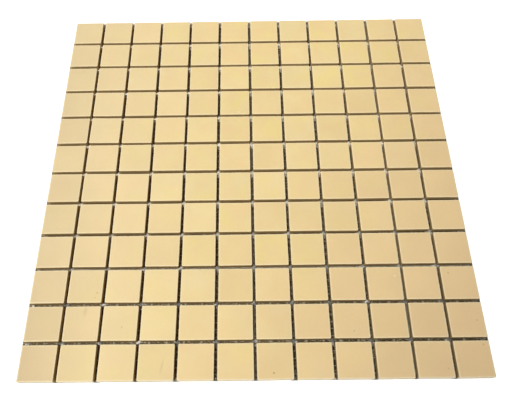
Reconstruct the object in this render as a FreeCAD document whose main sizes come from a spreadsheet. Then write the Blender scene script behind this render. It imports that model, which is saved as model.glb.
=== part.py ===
"""Mosaic tile sheet: twelve by twelve square porcelain tiles on a woven glass-fibre mesh.

The sheet lies flat with its back down. X runs across the sheet, Y along it and Z up, in
millimetres. The origin is at the middle of the sheet, on the underside of the mesh.
"""
import FreeCAD
import Part
import os
import Sketcher

doc = FreeCAD.newDocument("mosaic_tile_sheet")


# Driving sizes, in millimetres, and counts

DRIVING_SIZES = {
    # Tiles and the open joints between them
    "column_count": 12,
    "row_count": 12,
    "tile_side": 23.0,
    "joint_width": 2.0,
    "tile_thickness": 5.0,
    "corner_cut": 0.4,
    "arris_width": 0.35,
    # Mesh threads; the mesh is cut from a roll, so each way its first thread lies where it fell
    "lengthwise_pitch": 11.33,
    "lengthwise_width": 1.5,
    "lengthwise_thickness": 0.25,
    "lengthwise_inset": 1.15,
    "crosswise_pitch": 4.725,
    "crosswise_width": 0.6,
    "crosswise_thickness": 0.25,
    "crosswise_inset": 4.25,
    "mesh_margin": 0.4,
    # Glue dots, which slope in towards their tops by so many degrees
    "glue_height": 0.8,
    "glue_clearance": 0.05,
    "glue_slope": 20.0,
}

sizes = doc.addObject("Spreadsheet::Sheet", "sizes")
for row, (name, value) in enumerate(DRIVING_SIZES.items(), start=1):
    sizes.set(f"A{row}", name)
    sizes.set(f"B{row}", str(value))
    sizes.setAlias(f"B{row}", name)
doc.recompute()


# Sizes that follow from the driving ones, as formulas for the features to read

MODULE = "(sizes.tile_side + sizes.joint_width)"
SHEET_WIDTH = f"(sizes.column_count * {MODULE} - sizes.joint_width)"
SHEET_LENGTH = f"(sizes.row_count * {MODULE} - sizes.joint_width)"
MESH_THICKNESS = "(sizes.lengthwise_thickness + sizes.crosswise_thickness)"
FIRST_JOINT_X = f"({MODULE} * (1 - sizes.column_count / 2))"
FIRST_JOINT_Y = f"({MODULE} * (1 - sizes.row_count / 2))"
GLUE_REACH = "(sizes.joint_width + sizes.corner_cut - sqrt(2) * sizes.glue_clearance)"


def new_body(name):
    """An empty sub-part, which may be several solids that stand clear of each other."""
    body = doc.addObject("PartDesign::Body", name)
    body.Label = name
    body.AllowCompound = True
    return body


def origin_feature(body, role):
    """The body's own origin plane or axis that has this role."""
    return next(item for item in body.Origin.OriginFeatures if item.Role == role)


def flat_sketch(body, name):
    """A sketch on the body's own XY plane."""
    sketch = body.newObject("Sketcher::SketchObject", name)
    sketch.AttachmentSupport = [(origin_feature(body, "XY_Plane"), "")]
    sketch.MapMode = "FlatFace"
    return sketch


def closed_outline(sketch, corners):
    """Straight lines from corner to corner and back to the first one."""
    points = [FreeCAD.Vector(x, y, 0) for x, y in corners]
    count = len(points)
    for index in range(count):
        sketch.addGeometry(Part.LineSegment(points[index], points[(index + 1) % count]), False)
    for index in range(count):
        sketch.addConstraint(Sketcher.Constraint("Coincident", index, 2, (index + 1) % count, 1))


def middle_rectangle(sketch, width, length):
    """A rectangle about the sketch's origin, as wide and as long as the two formulas say."""
    closed_outline(sketch, [(-1, -1), (1, -1), (1, 1), (-1, 1)])
    for line, direction in enumerate(["Horizontal", "Vertical", "Horizontal", "Vertical"]):
        sketch.addConstraint(Sketcher.Constraint(direction, line))
    sketch.addConstraint(Sketcher.Constraint("Symmetric", 0, 1, 2, 1, -1, 1))
    for line, name, formula in [(0, "width", width), (1, "length", length)]:
        index = sketch.addConstraint(Sketcher.Constraint("Distance", line, 2.0))
        sketch.renameConstraint(index, name)
        sketch.setExpression(f"Constraints.{name}", formula)


def pad_sketch(body, sketch, name, height):
    """A pad of the sketch, upward from it, as high as the formula says."""
    pad = body.newObject("PartDesign::Pad", name)
    pad.Profile = sketch
    pad.setExpression("Length", height)
    doc.recompute()
    return pad


def repeat_along(body, name, axis, count, step):
    """The body's whole shape again and again along one of its axes."""
    pattern = body.newObject("PartDesign::LinearPattern", name)
    pattern.TransformMode = "Whole shape"
    pattern.Direction = (origin_feature(body, axis), [""])
    pattern.Mode = "Spacing"
    pattern.setExpression("Offset", step)
    pattern.setExpression("Occurrences", count)
    body.Tip = pattern
    doc.recompute()
    return pattern


def place(body, **formulas):
    """The body's place in the sheet, each coordinate by its own formula."""
    for axis, formula in formulas.items():
        body.setExpression(f"Placement.Base.{axis}", formula)


# Tiles: pressed and fired porcelain squares, a row of them in each sub-part

def upright_edges(shape):
    """Names of the edges that run straight up."""
    return [
        f"Edge{number}"
        for number, edge in enumerate(shape.Edges, start=1)
        if edge.BoundBox.XLength < 0.001 and edge.BoundBox.YLength < 0.001
    ]


def top_edges(shape):
    """Names of the edges round the highest face."""
    return [
        f"Edge{number}"
        for number, edge in enumerate(shape.Edges, start=1)
        if edge.BoundBox.ZMin > shape.BoundBox.ZMax - 0.001
    ]


def tile_row(number):
    """One row of tiles from left to right, with blunt corners and an eased top edge.

    One flat stands for each corner's small pressed round, which keeps the many tiles light.
    """
    name = f"tile_row_{number:02d}"
    body = new_body(name)
    face = flat_sketch(body, f"{name}_face")
    middle_rectangle(face, "sizes.tile_side", "sizes.tile_side")
    blank = pad_sketch(body, face, f"{name}_blank", "sizes.tile_thickness")
    corners = body.newObject("PartDesign::Chamfer", f"{name}_corners")
    corners.Base = (blank, upright_edges(blank.Shape))
    corners.setExpression("Size", "sizes.corner_cut")
    doc.recompute()
    arris = body.newObject("PartDesign::Chamfer", f"{name}_arris")
    arris.Base = (corners, top_edges(corners.Shape))
    arris.setExpression("Size", "sizes.arris_width")
    doc.recompute()
    repeat_along(body, f"{name}_repeat", "X_Axis", "sizes.column_count", MODULE)
    place(
        body,
        x=f"(sizes.tile_side - {SHEET_WIDTH}) / 2",
        y=f"(sizes.tile_side - {SHEET_LENGTH}) / 2 + {number - 1} * {MODULE}",
        z=MESH_THICKNESS,
    )
    return body


# Mesh: two layers of flat glass-fibre yarns, which lie on each other where they cross

def lengthwise_threads():
    """The lower yarns, wide and far apart, which run along the sheet."""
    body = new_body("mesh_threads_lengthwise")
    strip = flat_sketch(body, "lengthwise_strip")
    middle_rectangle(strip, "sizes.lengthwise_width", f"{SHEET_LENGTH} - 2 * sizes.mesh_margin")
    pad_sketch(body, strip, "lengthwise_thread", "sizes.lengthwise_thickness")
    room = f"({SHEET_WIDTH} - sizes.lengthwise_inset - sizes.mesh_margin - sizes.lengthwise_width / 2)"
    count = f"floor({room} / sizes.lengthwise_pitch) + 1"
    repeat_along(body, "lengthwise_repeat", "X_Axis", count, "sizes.lengthwise_pitch")
    place(body, x=f"sizes.lengthwise_inset - {SHEET_WIDTH} / 2")
    return body


def crosswise_threads():
    """The upper yarns, thin and close together, which run across the sheet."""
    body = new_body("mesh_threads_crosswise")
    strip = flat_sketch(body, "crosswise_strip")
    middle_rectangle(strip, f"{SHEET_WIDTH} - 2 * sizes.mesh_margin", "sizes.crosswise_width")
    pad_sketch(body, strip, "crosswise_thread", "sizes.crosswise_thickness")
    room = f"({SHEET_LENGTH} - sizes.crosswise_inset - sizes.mesh_margin - sizes.crosswise_width / 2)"
    count = f"floor({room} / sizes.crosswise_pitch) + 1"
    repeat_along(body, "crosswise_repeat", "Y_Axis", count, "sizes.crosswise_pitch")
    place(body, y=f"sizes.crosswise_inset - {SHEET_LENGTH} / 2", z="sizes.lengthwise_thickness")
    return body


# Glue: a dot of hardened adhesive on the mesh wherever tile corners meet

def hold_corner(sketch, corner, name, distance):
    """Keeps the start of a line as far from the sketch's origin as the formula says."""
    index = sketch.addConstraint(Sketcher.Constraint("Distance", -1, 1, corner, 1, 1.0))
    sketch.renameConstraint(index, name)
    sketch.setExpression(f"Constraints.{name}", distance)


def middle_diamond(sketch, reach):
    """A square stood on its corner, whose corners are this far from the sketch's origin."""
    closed_outline(sketch, [(0, -1), (1, 0), (0, 1), (-1, 0)])
    sketch.addConstraint(Sketcher.Constraint("PointOnObject", 0, 1, -2))
    sketch.addConstraint(Sketcher.Constraint("PointOnObject", 1, 1, -1))
    sketch.addConstraint(Sketcher.Constraint("Symmetric", 0, 1, 2, 1, -1, 1))
    sketch.addConstraint(Sketcher.Constraint("Symmetric", 1, 1, 3, 1, -1, 1))
    hold_corner(sketch, 1, "reach_across", reach)
    hold_corner(sketch, 2, "reach_along", reach)


def half_diamond(sketch, reach):
    """A triangle with its base on the sketch's Y axis and its point out along X."""
    closed_outline(sketch, [(0, -1), (1, 0), (0, 1)])
    sketch.addConstraint(Sketcher.Constraint("PointOnObject", 0, 1, -2))
    sketch.addConstraint(Sketcher.Constraint("PointOnObject", 1, 1, -1))
    sketch.addConstraint(Sketcher.Constraint("Symmetric", 0, 1, 2, 1, -1, 1))
    hold_corner(sketch, 1, "depth", reach)
    hold_corner(sketch, 2, "half_base", reach)


def sloped_dot(body, foot, name):
    """A dot that stands on its foot and narrows towards its top."""
    dot = pad_sketch(body, foot, name, "sizes.glue_height")
    dot.setExpression("TaperAngle", "-sizes.glue_slope")


def glue_dots():
    """The dots that fill the crossings of the joints, just clear of the tiles' blunt corners."""
    body = new_body("glue_dots")
    foot = flat_sketch(body, "glue_foot")
    middle_diamond(foot, GLUE_REACH)
    sloped_dot(body, foot, "glue_dot")
    repeats = repeat_along(body, "glue_repeat", "X_Axis", "sizes.column_count - 1", MODULE)
    repeats.Direction2 = (origin_feature(body, "Y_Axis"), [""])
    repeats.Mode2 = "Spacing"
    repeats.setExpression("Offset2", MODULE)
    repeats.setExpression("Occurrences2", "sizes.row_count - 1")
    place(body, x=FIRST_JOINT_X, y=FIRST_JOINT_Y, z=MESH_THICKNESS)
    return body


def edge_glue_dots(name, turn, first_x, first_y, axis, count, mirror):
    """The half dots that close the joints where they run out at two facing edges of the sheet."""
    body = new_body(name)
    foot = flat_sketch(body, f"{name}_foot")
    foot.AttachmentOffset = FreeCAD.Placement(FreeCAD.Vector(), FreeCAD.Rotation(turn, 0, 0))
    foot.setExpression("AttachmentOffset.Base.x", first_x)
    foot.setExpression("AttachmentOffset.Base.y", first_y)
    half_diamond(foot, f"{GLUE_REACH} - sizes.joint_width / 2")
    sloped_dot(body, foot, f"{name}_dot")
    repeat_along(body, f"{name}_repeat", axis, count, MODULE)
    far_edge = body.newObject("PartDesign::Mirrored", f"{name}_far_edge")
    far_edge.TransformMode = "Whole shape"
    far_edge.MirrorPlane = (origin_feature(body, mirror), [""])
    body.Tip = far_edge
    place(body, z=MESH_THICKNESS)
    return body


def side_glue_dots():
    """Half dots at the left and right edges, each with its point turned inward."""
    first_x = f"-{SHEET_WIDTH} / 2"
    count = "sizes.row_count - 1"
    return edge_glue_dots("side_glue_dots", 0, first_x, FIRST_JOINT_Y, "Y_Axis", count, "YZ_Plane")


def end_glue_dots():
    """Half dots at the front and back edges, each with its point turned inward."""
    first_y = f"-{SHEET_LENGTH} / 2"
    count = "sizes.column_count - 1"
    return edge_glue_dots("end_glue_dots", 90, FIRST_JOINT_X, first_y, "X_Axis", count, "XZ_Plane")


sub_parts = [tile_row(number) for number in range(1, int(sizes.row_count) + 1)]
sub_parts += [lengthwise_threads(), crosswise_threads()]
sub_parts += [glue_dots(), side_glue_dots(), end_glue_dots()]
doc.recompute()


# Every object and every sub-part is sound before anything is written

for item in doc.Objects:
    if "Invalid" in item.State or "Error" in item.State:
        raise RuntimeError(f"{item.Label} failed: {item.State}")

for body in sub_parts:
    if body.Shape.isNull() or not body.Shape.isValid():
        raise RuntimeError(f"{body.Label} has no valid shape")

os.makedirs("parts", exist_ok=True)
for body in sub_parts:
    body.Shape.exportStep(f"parts/{body.Label}.step")
    print(body.Label, len(body.Shape.Solids), "solids", round(body.Shape.Volume, 1), "mm3")
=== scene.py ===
"""A sheet of cream porcelain mosaic, 12 by 12 tiles on glass fibre mesh, face up on a pale bench."""
import math

import bpy
import numpy as np
from mathutils import Matrix, Vector


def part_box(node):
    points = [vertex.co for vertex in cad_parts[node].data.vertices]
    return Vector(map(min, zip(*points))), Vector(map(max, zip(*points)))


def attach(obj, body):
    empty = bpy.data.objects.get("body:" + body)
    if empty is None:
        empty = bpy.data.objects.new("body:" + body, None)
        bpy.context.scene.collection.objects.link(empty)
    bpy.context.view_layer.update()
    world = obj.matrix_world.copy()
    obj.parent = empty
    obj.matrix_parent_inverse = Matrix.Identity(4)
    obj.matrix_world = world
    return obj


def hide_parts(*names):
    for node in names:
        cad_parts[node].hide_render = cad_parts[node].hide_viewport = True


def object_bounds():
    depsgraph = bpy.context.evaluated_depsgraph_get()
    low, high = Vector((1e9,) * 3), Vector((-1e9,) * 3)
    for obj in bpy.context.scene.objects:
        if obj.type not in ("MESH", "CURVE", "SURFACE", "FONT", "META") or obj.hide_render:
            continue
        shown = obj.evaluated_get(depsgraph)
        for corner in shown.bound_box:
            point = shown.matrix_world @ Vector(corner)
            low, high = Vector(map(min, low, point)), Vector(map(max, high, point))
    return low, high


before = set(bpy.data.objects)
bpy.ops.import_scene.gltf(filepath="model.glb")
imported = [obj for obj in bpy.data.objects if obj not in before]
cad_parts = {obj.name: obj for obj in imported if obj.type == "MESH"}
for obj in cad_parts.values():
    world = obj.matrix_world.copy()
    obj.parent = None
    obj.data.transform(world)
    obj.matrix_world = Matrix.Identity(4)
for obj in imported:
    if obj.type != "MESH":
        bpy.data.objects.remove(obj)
cad_low, cad_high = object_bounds()

# Lengthwise threads of the mesh
# Each is a pair of glass rovings that run from front to back and cross over between every two
# crosswise threads. One lies over those threads and the other under them, which locks the net.
MM = 0.001
ROVING_SIDES = 6
STEPS_PER_MESH = 4
PAIR_SPREAD = 0.36 * MM
PAIR_HALF_WIDTH = 0.66 * MM
PAIR_UNEVENNESS = 0.12
QUICK_CROSSING = 1.5
ROVING_HALF_THICKNESS = 0.085 * MM
UNDER_LEVEL = 0.095 * MM
OVER_LEVEL = 0.410 * MM
UNDER_RISE = 0.17 * MM
OVER_DIP = 0.28 * MM
THREAD_WANDER = 0.13 * MM
WANDER_WAVES = 4
TWIST_PITCH = 0.9 * MM
FILAMENT_BUMP = 0.06 * MM
# Colours of the lengthwise fibre: its lit side, its hollows darkened as painted shade, and its soiling
LENGTHWISE_FIBRE = (0.52, 0.465, 0.31)
LENGTHWISE_SHADED_HOLLOWS = (0.20, 0.17, 0.10)
SOILED_FIBRE = (0.20, 0.16, 0.09)

# Patches of noise to the metre, which make the filaments long and thin
FILAMENTS_ACROSS = 9000.0
FILAMENTS_ALONG = 500.0

# A Wave texture of scale 1 repeats over this length
WAVE_PERIOD = math.tau / 20

mesh_chance = np.random.default_rng(12)


def add_node(tree, kind, **settings):
    """A shader node with its own settings, such as its operation."""
    node = tree.nodes.new("ShaderNode" + kind)
    for setting, value in settings.items():
        setattr(node, setting, value)
    return node


def noise(tree, place, scale, detail=2.0):
    """Cloudy noise from 0 to 1, with about as many patches to the metre as its scale says."""
    node = add_node(tree, "TexNoise")
    node.inputs["Scale"].default_value = scale
    node.inputs["Detail"].default_value = detail
    tree.links.new(place, node.inputs["Vector"])
    return node.outputs["Fac"]


def fade(tree, value, start, end, low=0.0, high=1.0):
    """A value that goes from low to high as the given one goes from start to end."""
    node = add_node(tree, "MapRange")
    for socket, number in (("From Min", start), ("From Max", end), ("To Min", low), ("To Max", high)):
        node.inputs[socket].default_value = number
    tree.links.new(value, node.inputs["Value"])
    return node.outputs["Result"]


def reckon(tree, operation, first, second):
    """Plain arithmetic on two values, of which the second may be a number."""
    node = add_node(tree, "Math", operation=operation)
    tree.links.new(first, node.inputs[0])
    if isinstance(second, (int, float)):
        node.inputs[1].default_value = second
    else:
        tree.links.new(second, node.inputs[1])
    return node.outputs["Value"]


def tint(tree, share, colour, other):
    """A colour that goes to the other one by the given share. Either may be three numbers."""
    node = add_node(tree, "Mix", data_type="RGBA")
    tree.links.new(share, node.inputs["Factor"])
    for socket, value in ((6, colour), (7, other)):
        if isinstance(value, tuple):
            node.inputs[socket].default_value = (*value, 1.0)
        else:
            tree.links.new(value, node.inputs[socket])
    return node.outputs[2]


def stretched(tree, place, stretch):
    """The same place with each direction scaled, for grain that runs one way."""
    node = add_node(tree, "VectorMath", operation="MULTIPLY")
    tree.links.new(place, node.inputs[0])
    node.inputs[1].default_value = stretch
    return node.outputs["Vector"]


def bump(tree, height, distance):
    """A shading normal for a height from 0 to 1 over the given distance."""
    node = add_node(tree, "Bump")
    node.inputs["Distance"].default_value = distance
    node.inputs["Strength"].default_value = 1.0
    tree.links.new(height, node.inputs["Height"])
    return node.outputs["Normal"]


def new_finish(name):
    """An empty material with its node tree, its surface shader and the object's own coordinates."""
    material = bpy.data.materials.new(name)
    material.use_nodes = True
    tree = material.node_tree
    place = add_node(tree, "TexCoord").outputs["Object"]
    return material, tree, tree.nodes["Principled BSDF"], place


def glass_fibre(name, direction, stretch, light_side, shaded_hollows):
    """Glass roving in milky resin, lightly twisted, with filaments that run along the thread, and
    painted shade in the hollows between the filaments and along the twist.
    """
    material, tree, shader, place = new_finish(name)
    filaments = noise(tree, stretched(tree, place, stretch), 1.0, 3.0)
    # The colour goes towards painted shade between the filaments and in the twist's bands
    fibre = tint(tree, fade(tree, filaments, 0.38, 0.62), shaded_hollows, light_side)
    twist = add_node(tree, "TexWave", bands_direction=direction)
    tree.links.new(place, twist.inputs["Vector"])
    for socket, number in (("Scale", WAVE_PERIOD / TWIST_PITCH), ("Distortion", 1.5), ("Detail", 1.0)):
        twist.inputs[socket].default_value = number
    fibre = tint(tree, fade(tree, twist.outputs["Fac"], 0.2, 0.8, 0.0, 0.6), fibre, shaded_hollows)
    soiling = fade(tree, noise(tree, place, 160.0), 0.5, 0.8)
    tree.links.new(tint(tree, soiling, fibre, SOILED_FIBRE), shader.inputs["Base Color"])
    tree.links.new(fade(tree, filaments, 0.3, 0.7, 0.62, 0.42), shader.inputs["Roughness"])
    tree.links.new(bump(tree, filaments, FILAMENT_BUMP), shader.inputs["Normal"])
    return material


def new_piece(name, points, faces, material):
    """A smooth mesh piece of the sheet, which takes the given finish."""
    shape = bpy.data.meshes.new(name)
    shape.from_pydata(points.tolist(), [], faces)
    shape.shade_smooth()
    shape.materials.append(material)
    piece = bpy.data.objects.new(name, shape)
    bpy.context.scene.collection.objects.link(piece)
    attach(piece, "root")
    return piece


def strip_middles(node, axis):
    """Where the strips of a packed thread node lie, measured across them."""
    edges = sorted({round(vertex.co[axis], 5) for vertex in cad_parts[node].data.vertices})
    return np.array([(low + high) / 2 for low, high in zip(edges[::2], edges[1::2])])


def wander(count, steps, reach):
    """Slow sideways drift for a number of threads, a different one for each."""
    run = np.linspace(0.0, 1.0, steps)
    drift = np.zeros((count, steps))
    for wave in range(1, WANDER_WAVES + 1):
        start = mesh_chance.uniform(0.0, math.tau, (count, 1))
        size = mesh_chance.normal(0.0, 1.0 / wave, (count, 1))
        drift += size * np.sin(math.tau * wave * run + start)
    return drift * reach / 2


def uneven(half_width, unevenness, shape):
    """A half width for each point of each roving, a share more or less than the given one."""
    return half_width * mesh_chance.uniform(1.0 - unevenness, 1.0 + unevenness, shape)


def roving_net(name, lines, width_axis, half_width, material):
    """One piece of many flat rovings. Lines holds a row of points for each roving."""
    count, steps = lines.shape[:2]
    turn = np.arange(ROVING_SIDES) * math.tau / ROVING_SIDES
    points = np.repeat(lines[:, :, None, :], ROVING_SIDES, axis=2)
    points[..., width_axis] += half_width[..., None] * np.cos(turn)
    points[..., 2] += ROVING_HALF_THICKNESS * np.sin(turn)
    points = np.clip(points, np.array(cad_low), np.array(cad_high))
    faces = []
    for roving in range(count):
        first = roving * steps * ROVING_SIDES
        last = first + (steps - 1) * ROVING_SIDES
        faces.append([first + side for side in range(ROVING_SIDES)])
        faces.append([last + side for side in reversed(range(ROVING_SIDES))])
        for ring in range(first, last, ROVING_SIDES):
            for side in range(ROVING_SIDES):
                after = (side + 1) % ROVING_SIDES
                faces.append([ring + side, ring + ROVING_SIDES + side,
                              ring + ROVING_SIDES + after, ring + after])
    return new_piece(name, points.reshape(-1, 3), faces, material)


lengthwise_low, lengthwise_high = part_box("mesh_threads_lengthwise")
lengthwise_x = strip_middles("mesh_threads_lengthwise", 0)
crosswise_y = strip_middles("mesh_threads_crosswise", 1)
crosswise_pitch = float(np.diff(crosswise_y).mean())

pair_step = crosswise_pitch / STEPS_PER_MESH
steps_before = int((crosswise_y[0] - lengthwise_low.y) / pair_step)
pair_y = np.arange(crosswise_y[0] - steps_before * pair_step, lengthwise_high.y, pair_step)
pair_y = np.concatenate([[lengthwise_low.y], pair_y, [lengthwise_high.y]])
crossing_over = np.cos(math.pi * (pair_y - crosswise_y[0]) / crosswise_pitch)
crossing_over = np.clip(crossing_over * QUICK_CROSSING, -1.0, 1.0)
between = 1.0 - crossing_over ** 2
over_level = OVER_LEVEL - OVER_DIP * between
under_level = UNDER_LEVEL + UNDER_RISE * between
pair_drift = wander(len(lengthwise_x), len(pair_y), THREAD_WANDER)
over_first = mesh_chance.choice([-1.0, 1.0], len(lengthwise_x))[:, None]
pairs = []
for side, level in ((1.0, over_level), (-1.0, under_level)):
    roving = np.zeros((len(lengthwise_x), len(pair_y), 3))
    roving[..., 0] = lengthwise_x[:, None] + pair_drift + side * over_first * PAIR_SPREAD * crossing_over
    roving[..., 1] = pair_y
    roving[..., 2] = level
    pairs.append(roving)
pairs = np.concatenate(pairs)
pair_half_width = uneven(PAIR_HALF_WIDTH, PAIR_UNEVENNESS, pairs.shape[:2])
lengthwise_fibre = glass_fibre("lengthwise_glass_fibre", "Y",
                               (FILAMENTS_ACROSS, FILAMENTS_ALONG, FILAMENTS_ACROSS),
                               LENGTHWISE_FIBRE, LENGTHWISE_SHADED_HOLLOWS)
lengthwise = roving_net("lengthwise_threads", pairs, 0, pair_half_width, lengthwise_fibre)
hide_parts("mesh_threads_lengthwise")

# Crosswise threads of the mesh
# Each is one glass roving from side to side, between the two rovings of every lengthwise pair.
# It is nipped where a pair crosses it and spreads a little in between.
STEPS_PER_PAIR = 4
CROSSWISE_LEVEL = 0.25 * MM
CROSSWISE_HALF_WIDTH = 0.30 * MM
CROSSWISE_UNEVENNESS = 0.15
CROSSWISE_NIP = 0.06 * MM
# Colours of the crosswise fibre: its lit side, and its hollows darkened as painted shade
CROSSWISE_FIBRE = (0.80, 0.74, 0.55)
CROSSWISE_SHADED_HOLLOWS = (0.20, 0.175, 0.125)

crosswise_low, crosswise_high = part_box("mesh_threads_crosswise")
lengthwise_pitch = float(np.diff(lengthwise_x).mean())
single_x = np.arange(crosswise_low.x, crosswise_high.x, lengthwise_pitch / STEPS_PER_PAIR)
single_x = np.append(single_x[:-1], crosswise_high.x)
nipped = 0.5 + 0.5 * np.cos(math.tau * (single_x - lengthwise_x[0]) / lengthwise_pitch)
singles = np.zeros((len(crosswise_y), len(single_x), 3))
singles[..., 0] = single_x
singles[..., 1] = crosswise_y[:, None] + wander(len(crosswise_y), len(single_x), THREAD_WANDER)
singles[..., 2] = CROSSWISE_LEVEL
single_half_width = uneven(CROSSWISE_HALF_WIDTH, CROSSWISE_UNEVENNESS, singles.shape[:2])
single_half_width -= CROSSWISE_NIP * nipped
crosswise_fibre = glass_fibre("crosswise_glass_fibre", "X",
                              (FILAMENTS_ALONG, FILAMENTS_ACROSS, FILAMENTS_ACROSS),
                              CROSSWISE_FIBRE, CROSSWISE_SHADED_HOLLOWS)
crosswise = roving_net("crosswise_threads", singles, 1, single_half_width, crosswise_fibre)
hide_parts("mesh_threads_crosswise")

# Glue dots
# Blobs of milky glue at each corner of each tile, pressed through the mesh into a flat pad below
# the tiles. In the joints' crossings the glue wells up between the four corners and sets glossy.
GLUE_SPOKES = 32
DOT_POLES = 2
PAD_RADIUS = 3.8 * MM
PAD_BOTTOM = 0.13 * MM
PAD_EDGE_HEIGHT = 0.12 * MM
PAD_STEP = 0.15 * MM
PAD_SIZES = (0.82, 1.0)
PAD_RAGGEDNESS = 0.06
CROSSWISE_ARM = 1.7 * MM
LENGTHWISE_ARM = 2.8 * MM
ARM_SPREAD = 0.8 * MM
CORNER_RADIUS = 0.70 * MM
WALL_OVERLAP = 0.03 * MM
TINY = 1e-6

# Rings of a dot as shares of its pad or, above the tiles' backs, of its reach in the crossing
PAD_MIDDLE = 0.45
PAD_FLAT = 0.85
PAD_SHOULDER = 0.97
PAD_NECK = 0.95
DOME_RINGS = (0.93, 0.8, 0.6, 0.35, 0.15)
DOME_LUMPS = 0.12
DOT_HEIGHTS = (0.45, 0.97)
DOT_DIMPLES = (0.1, 0.8)

# Glue is painted dark at the sheet's front, partly as clear glue over the dark below and partly as
# painted shade, and milky from its middle back
CLEAR_GLUE_END = -95.0 * MM
MILKY_GLUE_START = 0.0 * MM
MOST_CLEAR = 0.95
GLUE_BUMP = 0.08 * MM
YELLOWED_GLUE = (0.53, 0.49, 0.37)
MILKY_GLUE = (0.87, 0.83, 0.70)
CLEAR_GLUE_SHADE = (0.115, 0.106, 0.084)
PAINTED_GLUE_GLINTS = (0.70, 0.68, 0.60)

glue_chance = np.random.default_rng(31)
tile_row_low, tile_row_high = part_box("tile_row_01")
tile_side = tile_row_high.y - tile_row_low.y
joint_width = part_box("tile_row_02")[0].y - tile_row_high.y
module = tile_side + joint_width
tile_back = tile_row_low.z
glue_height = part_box("glue_dots")[1].z - tile_back
half_joint = joint_width / 2 + WALL_OVERLAP
spoke_angles = np.arange(GLUE_SPOKES) * math.tau / GLUE_SPOKES


def crossing_reach(angle, arms):
    """How far glue runs from a crossing's middle before it meets a tile's side or round corner."""
    along = max(abs(math.cos(angle)), abs(math.sin(angle)))
    across = min(abs(math.cos(angle)), abs(math.sin(angle)))
    arm = arms[round(angle / (math.pi / 2)) % 4]
    to_side = half_joint / max(across, TINY)
    centre = half_joint + CORNER_RADIUS
    if to_side * along < centre:
        nearest = centre * (along + across)
        to_side = nearest - math.sqrt(max(nearest ** 2 - 2 * centre ** 2 + CORNER_RADIUS ** 2, 0.0))
    return min(to_side, arm)


def glue_dot(x, y, reach, pad):
    """Points of one dot: rings from its pad's underside up to its top, then its two poles."""
    start = glue_chance.uniform(0.0, math.tau)
    height = glue_height * glue_chance.uniform(*DOT_HEIGHTS)
    dimple = glue_chance.uniform(*DOT_DIMPLES)
    rings = [(pad * PAD_MIDDLE, PAD_BOTTOM),
             (pad * PAD_FLAT, PAD_BOTTOM),
             (pad, PAD_BOTTOM + PAD_EDGE_HEIGHT),
             (pad * PAD_SHOULDER, tile_back - PAD_EDGE_HEIGHT / 2),
             (np.minimum(reach, pad * PAD_NECK), tile_back)]
    for share in DOME_RINGS:
        swell = math.sqrt(1.0 - share * share) * (1.0 - dimple * (1.0 - share) ** 2)
        lumps = 1.0 + DOME_LUMPS * share * np.sin(3 * spoke_angles + start)
        rings.append((reach * share, tile_back + height * np.clip(swell * lumps, 0.0, 1.0)))
    points = np.zeros((len(rings), GLUE_SPOKES, 3))
    for ring, (radius, level) in zip(points, rings):
        ring[:, 0] = x + radius * np.cos(spoke_angles)
        ring[:, 1] = y + radius * np.sin(spoke_angles)
        ring[:, 2] = level
    poles = [[x, y, PAD_BOTTOM], [x, y, tile_back + height * (1.0 - dimple)]]
    return np.concatenate([points.reshape(-1, 3), poles])


def crossing_dot(x, y):
    """A dot where four tiles meet, with an arm of its own length in each joint."""
    arms = glue_chance.uniform(-ARM_SPREAD, ARM_SPREAD, 4)
    arms += np.array([CROSSWISE_ARM, LENGTHWISE_ARM, CROSSWISE_ARM, LENGTHWISE_ARM])
    reach = np.array([crossing_reach(angle, arms) for angle in spoke_angles])
    start = glue_chance.uniform(0.0, math.tau, 3)
    ragged = sum(np.sin((wave + 2) * spoke_angles + start[wave]) for wave in range(3))
    pad = PAD_RADIUS * (1.0 + PAD_RAGGEDNESS * ragged) * glue_chance.uniform(*PAD_SIZES)
    across = np.minimum(np.abs(np.cos(spoke_angles)), np.abs(np.sin(spoke_angles)))
    return glue_dot(x, y, reach, np.where(across * pad < half_joint, reach + PAD_STEP, pad))


def turned_faces(rings, spokes, first):
    """Faces of a closed body: rings from the bottom up, then a bottom pole and a top pole."""
    faces = []
    last = first + (rings - 1) * spokes
    bottom_pole = last + spokes
    for spoke in range(spokes):
        after = (spoke + 1) % spokes
        faces.append([bottom_pole, first + after, first + spoke])
        faces.append([bottom_pole + 1, last + spoke, last + after])
        for ring in range(first, last, spokes):
            faces.append([ring + spoke, ring + after, ring + spokes + after, ring + spokes + spoke])
    return faces


def parted(tree, vector):
    """The three numbers of a vector, such as how far across, along and up a place lies."""
    node = add_node(tree, "SeparateXYZ")
    tree.links.new(vector, node.inputs["Vector"])
    return node.outputs["X"], node.outputs["Y"], node.outputs["Z"]


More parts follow.
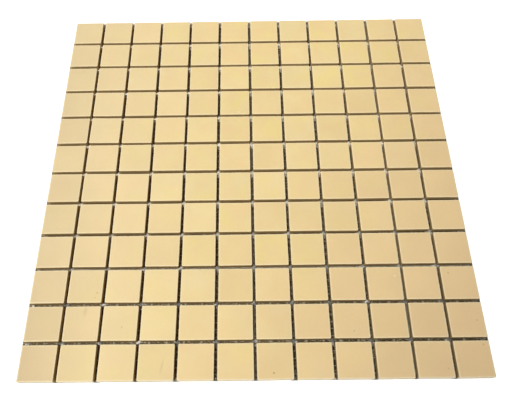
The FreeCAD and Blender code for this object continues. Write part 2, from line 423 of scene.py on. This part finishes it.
def milky_glue():
    """White glue that has dried glossy: milky at the back, and at the front painted dark as clear glue
    and painted shade, with painted glints.
    """
    material, tree, shader, place = new_finish("dried_glue")
    _, along, up = parted(tree, place)
    clouds = fade(tree, noise(tree, place, 260.0, 3.0), 0.35, 0.65)
    colour = tint(tree, clouds, YELLOWED_GLUE, MILKY_GLUE)
    front = fade(tree, along, CLEAR_GLUE_END, MILKY_GLUE_START, MOST_CLEAR, 0.0)
    front = reckon(tree, "MULTIPLY", front, fade(tree, up, PAD_BOTTOM, tile_back))
    # Clear glue lets the dark below show, and this dark is also painted shade; dust specks take the same
    # dark
    clear = reckon(tree, "MULTIPLY", front, fade(tree, noise(tree, place, 40.0, 1.0), 0.32, 0.48))
    dust = fade(tree, noise(tree, place, 900.0), 0.55, 0.7)
    colour = tint(tree, reckon(tree, "MAXIMUM", dust, clear), colour, CLEAR_GLUE_SHADE)
    # Pale spots on the glue at the front stand in for glints of light: painted highlights
    painted_glints = fade(tree, noise(tree, place, 520.0, 0.0), 0.61, 0.74)
    colour = tint(tree, reckon(tree, "MULTIPLY", front, painted_glints), colour, PAINTED_GLUE_GLINTS)
    tree.links.new(colour, shader.inputs["Base Color"])
    tree.links.new(fade(tree, clouds, 0.0, 1.0, 0.42, 0.2), shader.inputs["Roughness"])
    tree.links.new(bump(tree, noise(tree, place, 1500.0), GLUE_BUMP), shader.inputs["Normal"])
    shader.inputs["Specular IOR Level"].default_value = 0.4
    return material


def glue_piece(name, dots, node):
    """One piece of many dots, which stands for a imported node."""
    faces = []
    for number, dot in enumerate(dots):
        faces += turned_faces((len(dot) - DOT_POLES) // GLUE_SPOKES, GLUE_SPOKES, number * len(dot))
    piece = new_piece(name, np.concatenate(dots), faces, dried_glue)
    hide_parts(node)


dried_glue = milky_glue()
joint_x = np.arange(tile_row_low.x - joint_width / 2 + module, tile_row_high.x, module)
joint_y = np.arange(cad_low.y - joint_width / 2 + module, cad_high.y, module)
glue_piece("crossing_glue", [crossing_dot(x, y) for x in joint_x for y in joint_y], "glue_dots")

# Glue at the ends of the joints
# The same glue where a joint runs out at the sheet's edge. It is wiped off level with the tiles,
# because the sheets are laid edge to edge.
END_SETBACK = 1.25 * MM
END_REACH = 1.20 * MM
END_PAD_RADIUS = 3.0 * MM
END_PAD_SIZES = (0.85, 1.0)

# A spoke that points outward by less than this share never meets the edge, so it has ample room
LEAST_OUTWARD = 0.05
AMPLE_ROOM = 1.0


def end_dot(x, y, inward):
    """A dot between two tiles at the sheet's edge. Inward is the angle of the joint from there."""
    outward = -np.cos(spoke_angles - inward)
    across = np.abs(np.sin(spoke_angles - inward))
    to_edge = END_REACH / np.maximum(outward, LEAST_OUTWARD)
    room = np.where(outward > LEAST_OUTWARD, to_edge, AMPLE_ROOM)
    arm = CROSSWISE_ARM + glue_chance.uniform(-ARM_SPREAD, 0.0)
    to_side = half_joint / np.maximum(across, TINY)
    reach = np.minimum(np.minimum(room, to_side), arm)
    pad = np.minimum(END_PAD_RADIUS * glue_chance.uniform(*END_PAD_SIZES), room)
    pad = np.where(across * pad < half_joint, reach + PAD_STEP, pad)
    pad = np.minimum(pad, room)
    return glue_dot(x + END_SETBACK * math.cos(inward), y + END_SETBACK * math.sin(inward), reach, pad)


side_dots = [end_dot(cad_low.x, y, 0.0) for y in joint_y]
side_dots += [end_dot(cad_high.x, y, math.pi) for y in joint_y]
glue_piece("side_glue", side_dots, "side_glue_dots")
end_dots = [end_dot(x, cad_low.y, math.pi / 2) for x in joint_x]
end_dots += [end_dot(x, cad_high.y, -math.pi / 2) for x in joint_x]
glue_piece("end_glue", end_dots, "end_glue_dots")

# Tiles
# Unglazed porcelain, pressed from dry clay and fired, the same cream right through. The die leaves
# the upper edge eased, painted paler there as a highlight, and no two tiles have quite the same size,
# place and colour.
CORNER_STEPS = 6
SIDE_STEPS = 8
TILE_POLES = 2
SIZE_SPREAD = 0.05 * MM
PLACE_SPREAD = 0.09 * MM
TURN_SPREAD = math.radians(0.22)
THICKNESS_SPREAD = 0.10 * MM
CORNER_SIZES = (0.8, 1.15)
EDGE_WAVER = 0.03 * MM
EDGE_WAVES = (3, 5, 8, 13)
WALL_FOOT_HEIGHT = 1.2 * MM
OUTER_SIDE_DEPTH = 0.3 * MM
PORCELAIN_BUMP = 0.02 * MM

# The front row's tiles are this much shorter from front to back, and each row behind it less
MOST_SHORTENED = 0.22 * MM

# Inset from the tile's side and depth below its top in mm, then how much it is edge and side
TILE_RINGS = (
    (6.0, 0.000, 0.0, 0.0),
    (2.2, 0.002, 0.0, 0.0),
    (1.10, 0.008, 0.0, 0.0),
    (0.60, 0.022, 0.8, 0.0),
    (0.30, 0.050, 1.0, 0.0),
    (0.13, 0.110, 1.0, 0.0),
    (0.03, 0.200, 0.7, 0.5),
    (0.00, 0.320, 0.3, 1.0),
    (0.00, 1.600, 0.0, 1.0),
    (0.02, 3.400, 0.0, 1.0),
    (0.05, 4.600, 0.0, 1.0),
    (0.14, 4.860, 0.0, 1.0),
    (0.38, 5.000, 0.0, 0.4),
    (3.50, 5.000, 0.0, 0.0),
)

# The cream and what it goes to with the tile's tone, painted sheen and shade by the place in the sheet,
# a painted edge highlight, painted light on the outer sides and painted shade with depth in the joints
CREAM = (0.855, 0.678, 0.348)
STRAW_CREAM = (0.855, 0.678, 0.282)
ORANGE_CREAM = (0.855, 0.642, 0.312)
PAINTED_SHEEN_CREAM = (0.855, 0.675, 0.395)
PAINTED_SHADE_NEAR_RIGHT_CREAM = (0.845, 0.612, 0.322)
PAINTED_SHADE_LEFT_EDGE_CREAM = (0.40, 0.28, 0.155)
PAINTED_EDGE_HIGHLIGHT = (0.92, 0.785, 0.50)
PAINTED_LIGHT_OUTER_SIDE = (0.88, 0.79, 0.60)
# The tiles' walls in the joints are painted dark as painted shade, most at the foot and near the right
SHADED_WALL_TOP = (0.60, 0.415, 0.175)
SHADED_WALL_FOOT = (0.42, 0.28, 0.11)
SHADED_WALL_FOOT_NEAR_RIGHT = (0.27, 0.18, 0.075)

# Where in the sheet the painted sheen and shade change the cream: across from its middle, or else
# towards its near right
PAINTED_SHEEN_END = -10.0 * MM
PAINTED_SHADE_LEFT_EDGE_END = -100.0 * MM
PAINTED_SHADE_NEAR_RIGHT_END = 190.0 * MM
DARK_FOOT_START = 80.0 * MM
DARK_FOOT_END = 170.0 * MM

# Marks on the faces in mm: place across and along, half length, half width, turn in degrees
SCUFFS = (
    (-58.8, -140.4, 6.5, 1.0, -9.0),
    (-111.0, -104.6, 5.0, 1.6, -4.0),
)
SPECKS = (
    (11.5, -144.9, 0.7, 0.7, 0.0),
)
FAINT_SPECKS = (
    (64.0, -119.3, 0.8, 0.8, 0.0),
    (-104.6, -92.1, 1.0, 0.8, 20.0),
    (-105.6, -95.4, 0.7, 0.5, 0.0),
    (-86.2, -115.3, 0.7, 0.6, 0.0),
    (131.0, -81.0, 0.9, 0.8, 0.0),
    (143.9, -113.3, 0.8, 0.7, 0.0),
    (145.0, -128.8, 0.8, 0.7, 0.0),
    (120.4, -143.2, 0.7, 0.6, 0.0),
)
NICKS = (
    (-26.4, 86.4, 2.4, 0.8, 0.0),
    (-9.5, 53.3, 1.0, 0.8, 0.0),
    (-136.0, -44.0, 0.6, 0.5, 0.0),
    (94.9, -82.6, 1.0, 0.9, 0.0),
)

# Each kind of mark, how strong it is and its colour
MARK_KINDS = (
    (SCUFFS, 0.24, (0.42, 0.36, 0.22)),
    (SPECKS, 0.9, (0.22, 0.15, 0.07)),
    (FAINT_SPECKS, 0.5, (0.42, 0.27, 0.12)),
    (NICKS, 0.8, (0.95, 0.82, 0.48)),
)

tile_chance = np.random.default_rng(144)


def square_template():
    """For each point round a square: its corner's centre for a half side of 1, and its direction."""
    centres, directions = [], []
    for quarter in range(4):
        start = quarter * math.pi / 2
        signs = np.sign([math.cos(start + math.pi / 4), math.sin(start + math.pi / 4)])
        for step in range(CORNER_STEPS + 1):
            angle = start + step * math.pi / 2 / CORNER_STEPS
            centres.append(signs)
            directions.append([math.cos(angle), math.sin(angle)])
        following = np.array([-signs[1], signs[0]])
        for step in range(1, SIDE_STEPS):
            centres.append(signs + (following - signs) * step / SIDE_STEPS)
            directions.append(directions[-1])
    return np.array(centres), np.array(directions)


template_centres, template_directions = square_template()
outline_points = len(template_centres)
tile_thickness = tile_row_high.z - tile_back
tile_rings = np.array(TILE_RINGS)
tile_rings[:, :2] *= MM


def tile_points(middle_x, middle_y, shortened):
    """Points of one tile: rings from its back up to its face, then a pole in its back and face."""
    half_side = tile_side / 2 - tile_chance.uniform(0.0, SIZE_SPREAD)
    radius = CORNER_RADIUS * tile_chance.uniform(*CORNER_SIZES)
    round_trip = np.arange(outline_points) * math.tau / outline_points
    waver = sum(tile_chance.normal() * np.sin(wave * round_trip + tile_chance.uniform(0.0, math.tau))
                for wave in EDGE_WAVES) * EDGE_WAVER / 2
    thinner = tile_chance.uniform(0.0, THICKNESS_SPREAD)
    points = np.zeros((len(tile_rings), outline_points, 3))
    for ring, (inset, depth, edge, side) in zip(points, tile_rings[::-1]):
        inset += (1.0 - side) * edge * waver
        corner = np.reshape(np.maximum(radius - inset, radius / 4), (-1, 1))
        spread = half_side - np.reshape(inset, (-1, 1)) - corner
        ring[:, :2] = template_centres * spread + template_directions * corner
        ring[:, 2] = tile_row_high.z - depth - thinner * (1.0 - depth / tile_thickness)
    points = points.reshape(-1, 3)
    poles = np.array([[0.0, 0.0, points[0, 2]], [0.0, 0.0, points[-1, 2]]])
    points = np.concatenate([points, poles])
    points[:, 1] *= 1.0 - shortened / tile_side
    points[:, 1] -= shortened / 2
    turn = tile_chance.normal(0.0, TURN_SPREAD)
    x = points[:, 0] * math.cos(turn) - points[:, 1] * math.sin(turn)
    y = points[:, 0] * math.sin(turn) + points[:, 1] * math.cos(turn)
    x += middle_x + tile_chance.normal(0.0, PLACE_SPREAD)
    y += middle_y + tile_chance.normal(0.0, PLACE_SPREAD)
    # A tile that would stick out past the sheet's edge is pushed back
    points[:, 0] = x + min(cad_high.x - x.max(), 0.0) + max(cad_low.x - x.min(), 0.0)
    points[:, 1] = y + min(cad_high.y - y.max(), 0.0) + max(cad_low.y - y.min(), 0.0)
    return points


def give_points(piece, name, kind, values):
    """Stores a value at each point of a piece, for its material."""
    field = "vector" if kind == "FLOAT_VECTOR" else "value"
    attribute = piece.data.attributes.new(name, kind, "POINT")
    attribute.data.foreach_set(field, np.asarray(values, np.float32).ravel())


def point_value(tree, name, output="Fac"):
    """A value stored at the piece's points."""
    node = add_node(tree, "Attribute", attribute_name=name)
    return node.outputs[output]


def mark(tree, place, x, y, half_length, half_width, turn):
    """1 in the middle of a long soft mark on the sheet's face, and 0 away from it."""
    from_middle = add_node(tree, "VectorMath", operation="SUBTRACT")
    tree.links.new(place, from_middle.inputs[0])
    from_middle.inputs[1].default_value = (x * MM, y * MM, 0.0)
    turned = add_node(tree, "VectorRotate", rotation_type="Z_AXIS")
    tree.links.new(from_middle.outputs["Vector"], turned.inputs["Vector"])
    turned.inputs["Angle"].default_value = -math.radians(turn)
    stretch = (1 / (half_width * MM), 1 / (half_length * MM), 0.0)
    scaled = stretched(tree, turned.outputs["Vector"], stretch)
    size = add_node(tree, "VectorMath", operation="LENGTH")
    tree.links.new(scaled, size.inputs[0])
    return fade(tree, size.outputs["Value"], 1.0, 0.25)


def marks(tree, place, listed):
    """All the listed marks together."""
    total = mark(tree, place, *listed[0])
    for one in listed[1:]:
        total = reckon(tree, "MAXIMUM", total, mark(tree, place, *one))
    return total


def towards_near_right(tree, place):
    """How far a place lies towards the sheet's near right corner."""
    across, along, _ = parted(tree, place)
    return reckon(tree, "SUBTRACT", across, reckon(tree, "MULTIPLY", along, 0.5))


def tile_cream(tree, place, mottle, grain):
    """Cream with a tone for each tile, painted sheen paler to the left, painted shade browner near right
    and darker at the left edge.
    """
    across, along, _ = parted(tree, place)
    tone = point_value(tree, "tone", "Vector")
    light, yellow, orange = parted(tree, tone)
    apart = add_node(tree, "VectorMath", operation="ADD")
    tree.links.new(place, apart.inputs[0])
    tree.links.new(tone, apart.inputs[1])
    own_place = apart.outputs["Vector"]
    straw = noise(tree, stretched(tree, own_place, (-1.0, 1.0, 1.0)), 60.0, 1.0)
    blush = noise(tree, own_place, 70.0, 2.0)
    yellow = reckon(tree, "ADD", yellow, fade(tree, straw, 0.3, 0.7, -0.55, 0.55))
    orange = reckon(tree, "ADD", orange, fade(tree, blush, 0.3, 0.7, -0.65, 0.65))
    colour = tint(tree, yellow, CREAM, STRAW_CREAM)
    colour = tint(tree, orange, colour, ORANGE_CREAM)
    # Paler and less yellow towards the left: painted sheen
    colour = tint(tree, fade(tree, across, cad_low.x, PAINTED_SHEEN_END, 0.75, 0.0), colour, PAINTED_SHEEN_CREAM)
    # Towards the near right corner, where the beam falls off, the cream is painted browner: painted
    # shade
    near_right_shade = fade(tree, towards_near_right(tree, place), 0.0, PAINTED_SHADE_NEAR_RIGHT_END)
    colour = tint(tree, near_right_shade, colour, PAINTED_SHADE_NEAR_RIGHT_CREAM)
    # Along the left edge the cream is painted darker, most at the front: painted shade
    left_edge_shade = fade(tree, across, cad_low.x, PAINTED_SHADE_LEFT_EDGE_END, 1.0, 0.0)
    left_edge_shade = reckon(tree, "MULTIPLY", left_edge_shade, fade(tree, along, cad_low.y, 0.0, 0.40, 0.15))
    colour = tint(tree, left_edge_shade, colour, PAINTED_SHADE_LEFT_EDGE_CREAM)
    clouds = noise(tree, own_place, 34.0, 1.5)
    value = fade(tree, light, 0.0, 1.0, 0.975, 1.02)
    value = reckon(tree, "MULTIPLY", value, fade(tree, clouds, 0.25, 0.75, 0.965, 1.03))
    value = reckon(tree, "MULTIPLY", value, fade(tree, mottle, 0.3, 0.7, 0.99, 1.01))
    value = reckon(tree, "MULTIPLY", value, fade(tree, grain, 0.3, 0.7, 0.985, 1.015))
    shade = add_node(tree, "HueSaturation")
    tree.links.new(colour, shade.inputs["Color"])
    tree.links.new(value, shade.inputs["Value"])
    return shade.outputs["Color"]


def shaded_tile_wall(tree, place):
    """A tile's side as it stands in an open joint, painted dark as painted shade, darker towards its
    foot and near right.
    """
    _, _, up = parted(tree, place)
    dark_foot = fade(tree, towards_near_right(tree, place), DARK_FOOT_START, DARK_FOOT_END)
    foot = tint(tree, dark_foot, SHADED_WALL_FOOT, SHADED_WALL_FOOT_NEAR_RIGHT)
    above_foot = fade(tree, up, tile_back + WALL_FOOT_HEIGHT, tile_row_high.z)
    return tint(tree, above_foot, foot, SHADED_WALL_TOP)


def within_sheet(tree, place):
    """0 on the sheet's outer sides, which stand in full light, and 1 further in."""
    across, along, _ = parted(tree, place)
    shares = []
    for distance, edge in ((across, cad_high.x), (along, cad_high.y)):
        from_middle = reckon(tree, "ABSOLUTE", distance, 0.0)
        shares.append(fade(tree, from_middle, edge - OUTER_SIDE_DEPTH, edge - 2 * OUTER_SIDE_DEPTH))
    return reckon(tree, "MULTIPLY", *shares)


def fired_porcelain():
    """Matt cream porcelain with fine grain and marks, a painted highlight on its eased edges, painted
    shade on its walls in the joints and painted light on the sheet's outer sides.
    """
    material, tree, shader, place = new_finish("cream_porcelain")
    grain = noise(tree, place, 2600.0, 2.0)
    mottle = noise(tree, place, 420.0, 2.0)
    side = point_value(tree, "side")
    colour = tile_cream(tree, place, mottle, grain)
    # The eased edge is painted paler in patches: a painted highlight
    painted_edge_highlight = reckon(tree, "MULTIPLY", point_value(tree, "edge"), fade(tree, mottle, 0.3, 0.6, 0.4, 0.8))
    colour = tint(tree, painted_edge_highlight, colour, PAINTED_EDGE_HIGHLIGHT)
    inner = within_sheet(tree, place)
    shaded_wall = reckon(tree, "MULTIPLY", reckon(tree, "MULTIPLY", inner, side), 0.9)
    colour = tint(tree, shaded_wall, colour, shaded_tile_wall(tree, place))
    # The sheet's outer sides are painted paler than the cream: painted light
    colour = tint(tree, fade(tree, inner, 0.0, 1.0, 0.6, 0.0), colour, PAINTED_LIGHT_OUTER_SIDE)
    face = fade(tree, side, 0.0, 0.3, 1.0, 0.0)
    for listed, strength, mark_colour in MARK_KINDS:
        shown = reckon(tree, "MULTIPLY", marks(tree, place, listed), strength)
        colour = tint(tree, reckon(tree, "MULTIPLY", shown, face), colour, mark_colour)
    tree.links.new(colour, shader.inputs["Base Color"])
    tree.links.new(fade(tree, mottle, 0.3, 0.7, 0.68, 0.80), shader.inputs["Roughness"])
    shader.inputs["Specular IOR Level"].default_value = 0.35
    relief = reckon(tree, "ADD", reckon(tree, "MULTIPLY", grain, 0.5), mottle)
    tree.links.new(bump(tree, relief, PORCELAIN_BUMP), shader.inputs["Normal"])
    return material


cream_porcelain = fired_porcelain()
tile_x = joint_x[0] - module / 2 + module * np.arange(len(joint_x) + 1)
row_names = sorted(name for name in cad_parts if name.startswith("tile_row_"))
points_per_tile = len(tile_rings) * outline_points + TILE_POLES
pole_values = np.zeros(TILE_POLES)
edge_values = np.append(np.repeat(tile_rings[::-1, 2], outline_points), pole_values)
side_values = np.append(np.repeat(tile_rings[::-1, 3], outline_points), pole_values)
for rows_before, row_name in enumerate(row_names):
    row_low, row_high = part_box(row_name)
    shortened = MOST_SHORTENED * (1.0 - rows_before / len(row_names))
    row_points, row_faces, row_tones = [], [], []
    for column, middle_x in enumerate(tile_x):
        row_points.append(tile_points(middle_x, (row_low.y + row_high.y) / 2, shortened))
        row_faces += turned_faces(len(tile_rings), outline_points, column * points_per_tile)
        row_tones.append(np.tile(tile_chance.uniform(0.0, 1.0, 3), (points_per_tile, 1)))
    row = new_piece(row_name.replace("row", "course"), np.concatenate(row_points), row_faces,
                    cream_porcelain)
    give_points(row, "tone", "FLOAT_VECTOR", np.concatenate(row_tones))
    give_points(row, "edge", "FLOAT", np.tile(edge_values, len(tile_x)))
    give_points(row, "side", "FLOAT", np.tile(side_values, len(tile_x)))
    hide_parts(row_name)

# Bench
# A plain pale top. Below the sheet it is painted dark as painted shade, so that the open joints look as
# deep as they are. The painted shade goes on a little past the sides and the back edge, where the joints
# are looked through at a slant. Seen from low down at the sides or the back, it shows there as a thin
# painted shadow rim.
BENCH_HALF_SIDE = 3.0
DARK_MARGIN = 0.7 * MM
DARK_MARGIN_EDGE = 0.1 * MM
DARK_BESIDE = 2.4 * MM
DARKEST_BESIDE = DARK_BESIDE * 0.7
DARK_BEHIND = 5.4 * MM
DARKEST_BEHIND = DARK_BEHIND / 2
# Across this span the painted shade turns darker to the right, and it is paler towards the back, to even
# out the lamps' light in the joints
DARKER_START = 0.0 * MM
DARKER_END = 50.0 * MM
PAINTED_SHADE_LEFT_FRONT = (0.11, 0.083, 0.045)
PAINTED_SHADE_LEFT_BACK = (0.24, 0.185, 0.10)
PAINTED_SHADE_RIGHT_FRONT = (0.055, 0.042, 0.022)
PAINTED_SHADE_RIGHT_BACK = (0.13, 0.10, 0.052)
CRUMBS = (0.42, 0.35, 0.21)
PALE_TOP = (0.80, 0.80, 0.80)
PALER_TOP = (0.84, 0.84, 0.84)
WHITE = (1.0, 1.0, 1.0)
WHITE_LIFT = 0.62


def background_rays(tree):
    """1 for the camera's own rays and those that gloss or glass sends on, and 0 for the rest."""
    seen = add_node(tree, "LightPath")
    rays = reckon(tree, "MAXIMUM", seen.outputs["Is Camera Ray"], seen.outputs["Is Glossy Ray"])
    return reckon(tree, "MAXIMUM", rays, seen.outputs["Is Transmission Ray"])


def painted_shade_under_sheet(tree, place):
    """1 on the patch of the bench that is painted dark below the sheet as painted shade, and 0 on the
    rest of it.
    """
    across, along, _ = parted(tree, place)
    from_middle = reckon(tree, "ABSOLUTE", across, 0.0)
    inside = fade(tree, from_middle, cad_high.x + DARK_BESIDE, cad_high.x + DARKEST_BESIDE)
    start = cad_low.y + DARK_MARGIN
    inside = reckon(tree, "MULTIPLY", inside, fade(tree, along, start, start + DARK_MARGIN_EDGE))
    back = fade(tree, along, cad_high.y + DARK_BEHIND, cad_high.y + DARKEST_BEHIND)
    return reckon(tree, "MULTIPLY", inside, back)


def bench_top():
    """Pale top with a patch of painted shade under the sheet, and white to the camera away from shadows.
    """
    material, tree, shader, place = new_finish("bench_top")
    across, along, _ = parted(tree, place)
    inside = painted_shade_under_sheet(tree, place)
    back_share = fade(tree, along, cad_low.y, cad_high.y)
    shade_left = tint(tree, back_share, PAINTED_SHADE_LEFT_FRONT, PAINTED_SHADE_LEFT_BACK)
    shade_right = tint(tree, back_share, PAINTED_SHADE_RIGHT_FRONT, PAINTED_SHADE_RIGHT_BACK)
    dark = tint(tree, fade(tree, across, DARKER_START, DARKER_END), shade_left, shade_right)
    crumbs = fade(tree, noise(tree, place, 850.0, 1.0), 0.52, 0.64, 0.0, 0.75)
    dark = tint(tree, crumbs, dark, CRUMBS)
    marbling = fade(tree, noise(tree, place, 30.0), 0.3, 0.7)
    pale = tint(tree, marbling, PALE_TOP, PALER_TOP)
    tree.links.new(tint(tree, inside, pale, dark), shader.inputs["Base Color"])
    shader.inputs["Roughness"].default_value = 0.9
    shader.inputs["Specular IOR Level"].default_value = 0.1
    lift = fade(tree, inside, 0.0, 1.0, WHITE_LIFT, 0.0)
    lift = reckon(tree, "MULTIPLY", lift, background_rays(tree))
    shader.inputs["Emission Color"].default_value = (*WHITE, 1.0)
    tree.links.new(lift, shader.inputs["Emission Strength"])
    return material


half = BENCH_HALF_SIDE
bench_shape = bpy.data.meshes.new("bench")
bench_shape.from_pydata([(-half, -half, 0), (half, -half, 0), (half, half, 0), (-half, half, 0)], [],
                        [(0, 1, 2, 3)])
bench_shape.materials.append(bench_top())
bench = bpy.data.objects.new("bench", bench_shape)
bpy.context.scene.collection.objects.link(bench)

# Light
# A broad soft lamp high up on the left gives most of it, so the upright joints stay dark. A beam from
# further left lights all but the near right corner. The room adds little, and shows white.
LAMP_PLACE = (-2.20, -2.40, 9.00)
LAMP_AIM = (0.0, 0.0, 0.0)
LAMP_SIDE = 2.80
LAMP_POWER = 459.0
BEAM_PLACE = (-4.20, -2.00, 8.50)
BEAM_AIM = (-0.995, 0.40, 0.0)
BEAM_ANGLE = math.radians(15.85)
BEAM_BLEND = 0.35
BEAM_RADIUS = 0.12
BEAM_POWER = 1935.0
ROOM_STRENGTH = 0.085
BACKGROUND_STRENGTH = 1.0


def hang_lamp(light, place, aim):
    """Hangs a lamp in its place, turned towards the point that it is aimed at."""
    lamp = bpy.data.objects.new(light.name, light)
    lamp.location = place
    lamp.rotation_euler = (Vector(place) - Vector(aim)).to_track_quat("Z", "Y").to_euler()
    bpy.context.scene.collection.objects.link(lamp)


soft_lamp = bpy.data.lights.new("soft_lamp", "AREA")
soft_lamp.shape = "SQUARE"
soft_lamp.size = LAMP_SIDE
soft_lamp.energy = LAMP_POWER
hang_lamp(soft_lamp, LAMP_PLACE, LAMP_AIM)
beam = bpy.data.lights.new("beam", "SPOT")
beam.spot_size = BEAM_ANGLE
beam.spot_blend = BEAM_BLEND
beam.shadow_soft_size = BEAM_RADIUS
beam.energy = BEAM_POWER
hang_lamp(beam, BEAM_PLACE, BEAM_AIM)

room = bpy.data.worlds.new("room")
room.use_nodes = True
bpy.context.scene.world = room
room_tree = room.node_tree
background = room_tree.nodes["Background"]
background.inputs["Color"].default_value = (*WHITE, 1.0)
room_light = fade(room_tree, background_rays(room_tree), 0.0, 1.0, ROOM_STRENGTH, BACKGROUND_STRENGTH)
room_tree.links.new(room_light, background.inputs["Strength"])

# Camera
# Held just in front of the sheet and a third of a metre above it, tilted towards its back. The
# place is measured from the middle of the tiles' faces, and the small shift frames the sheet.
CAMERA_PLACE = (-4.8 * MM, -193.9 * MM, 339.0 * MM)
CAMERA_TILT = math.radians(25.75)
CAMERA_YAW = math.radians(0.26)
CAMERA_ROLL = math.radians(-0.70)
CAMERA_LENS = 36.90
CAMERA_SENSOR = 36.0
CAMERA_SHIFT = (0.0246, 0.0002)
CAMERA_NEAREST = 0.01

camera_lens = bpy.data.cameras.new("camera")
camera_lens.lens = CAMERA_LENS
camera_lens.sensor_width = CAMERA_SENSOR
camera_lens.shift_x, camera_lens.shift_y = CAMERA_SHIFT
camera_lens.clip_start = CAMERA_NEAREST
camera = bpy.data.objects.new("camera", camera_lens)
stand = Matrix.Translation(Vector(CAMERA_PLACE) + Vector((0.0, 0.0, cad_high.z)))
tilt = Matrix.Rotation(CAMERA_TILT, 4, "X")
yaw = Matrix.Rotation(CAMERA_YAW, 4, "Y")
roll = Matrix.Rotation(CAMERA_ROLL, 4, "Z")
camera.matrix_world = stand @ (tilt @ yaw) @ roll
bpy.context.scene.collection.objects.link(camera)
bpy.context.scene.camera = camera
bpy.context.scene.view_settings.view_transform = "Standard"
